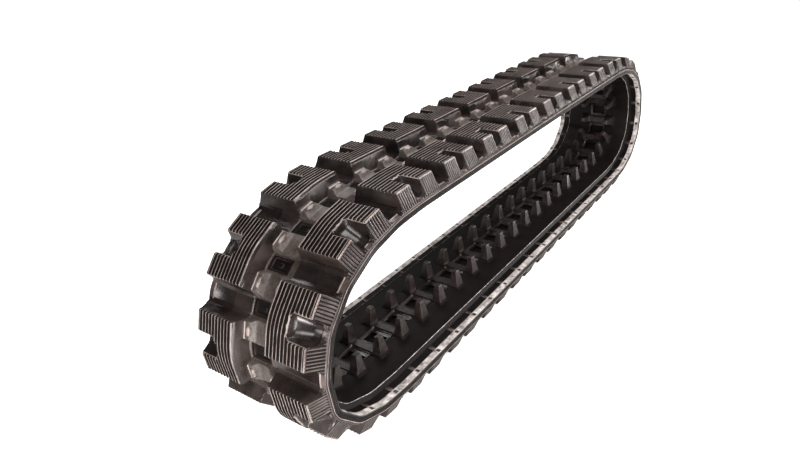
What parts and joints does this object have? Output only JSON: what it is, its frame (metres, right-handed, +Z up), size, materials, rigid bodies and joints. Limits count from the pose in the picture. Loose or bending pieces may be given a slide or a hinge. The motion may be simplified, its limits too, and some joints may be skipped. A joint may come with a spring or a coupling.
{
  "type": "rubber track",
  "caption": "Endless rubber crawler track on its ground run: lugged rubber belt with steel cords and forged cores with two rows of guide horns",
  "frame": {"origin": "on the ground under the middle of the loop", "axes": "+X along the loop's long way, from the front end to the rear end, Y across the belt, +Z up"},
  "size_m": [1.9506, 0.32, 0.4989],
  "materials": {
    "rubber": "moulded satin black-brown rubber",
    "core_steel": "forged steel with a thin skin of rubber",
    "cord": "brassed steel cord in a rubber ply"
  },
  "bodies": {
    "ground_run": {"ground_run_carcass": "rubber", "ground_run_cord_belt": "cord", "core_29": "core_steel", "core_30": "core_steel", "core_31": "core_steel", "core_32": "core_steel", "core_33": "core_steel", "core_34": "core_steel", "core_35": "core_steel", "core_36": "core_steel", "core_37": "core_steel", "core_38": "core_steel", "core_39": "core_steel", "core_40": "core_steel", "core_41": "core_steel", "core_42": "core_steel", "core_43": "core_steel", "core_44": "core_steel"},
    "front_lower": {"front_lower_carcass": "rubber", "front_lower_cord_belt": "cord", "core_45": "core_steel", "core_46": "core_steel", "core_47": "core_steel", "core_48": "core_steel"},
    "front_upper": {"front_upper_carcass": "rubber", "front_upper_cord_belt": "cord", "core_01": "core_steel", "core_02": "core_steel", "core_03": "core_steel", "core_04": "core_steel"},
    "top_run": {"top_run_carcass": "rubber", "top_run_cord_belt": "cord", "core_05": "core_steel", "core_06": "core_steel", "core_07": "core_steel", "core_08": "core_steel", "core_09": "core_steel", "core_10": "core_steel", "core_11": "core_steel", "core_12": "core_steel", "core_13": "core_steel", "core_14": "core_steel", "core_15": "core_steel", "core_16": "core_steel", "core_17": "core_steel", "core_18": "core_steel", "core_19": "core_steel", "core_20": "core_steel"},
    "rear_upper": {"rear_upper_carcass": "rubber", "rear_upper_cord_belt": "cord", "core_21": "core_steel", "core_22": "core_steel", "core_23": "core_steel", "core_24": "core_steel"},
    "rear_lower": {"rear_lower_carcass": "rubber", "rear_lower_cord_belt": "cord", "core_25": "core_steel", "core_26": "core_steel", "core_27": "core_steel", "core_28": "core_steel"}
  },
  "joints": [
    {"name": "front_lower_shoulder", "type": "hinge", "parent": "ground_run", "child": "front_lower", "pos_m": [-0.68799, 0, 0.0507], "axis": [0, -1, 0], "range_deg": [-2.5, 3], "stiffness_Nm_per_rad": 800, "springref_deg": -2.01},
    {"name": "front_apex", "type": "hinge", "parent": "front_lower", "child": "front_upper", "pos_m": [-0.92448, 0, 0.23412], "axis": [0, -1, 0], "range_deg": [-5.65, 4.71], "stiffness_Nm_per_rad": 800, "springref_deg": 3.78},
    {"name": "front_upper_shoulder", "type": "hinge", "parent": "front_upper", "child": "top_run", "pos_m": [-0.68769, 0, 0.44197], "axis": [0, -1, 0], "range_deg": [-2.21, 2.65], "stiffness_Nm_per_rad": 800, "springref_deg": -1.77},
    {"name": "rear_upper_shoulder", "type": "hinge", "parent": "top_run", "child": "rear_upper", "pos_m": [0.68769, 0, 0.44197], "axis": [0, -1, 0], "range_deg": [-2.21, 2.65], "stiffness_Nm_per_rad": 800, "springref_deg": -1.77},
    {"name": "rear_apex", "type": "hinge", "parent": "rear_upper", "child": "rear_lower", "pos_m": [0.92448, 0, 0.23412], "axis": [0, -1, 0], "range_deg": [-5.65, 4.71], "stiffness_Nm_per_rad": 800, "springref_deg": 3.78}
  ],
  "couplings": [
    {"joint": "front_apex", "follows": "front_lower_shoulder", "ratio": -1.8824},
    {"joint": "front_upper_shoulder", "follows": "front_lower_shoulder", "ratio": 0.88244},
    {"joint": "rear_upper_shoulder", "follows": "front_lower_shoulder", "ratio": 0.88244},
    {"joint": "rear_apex", "follows": "front_lower_shoulder", "ratio": -1.8824}
  ]
}
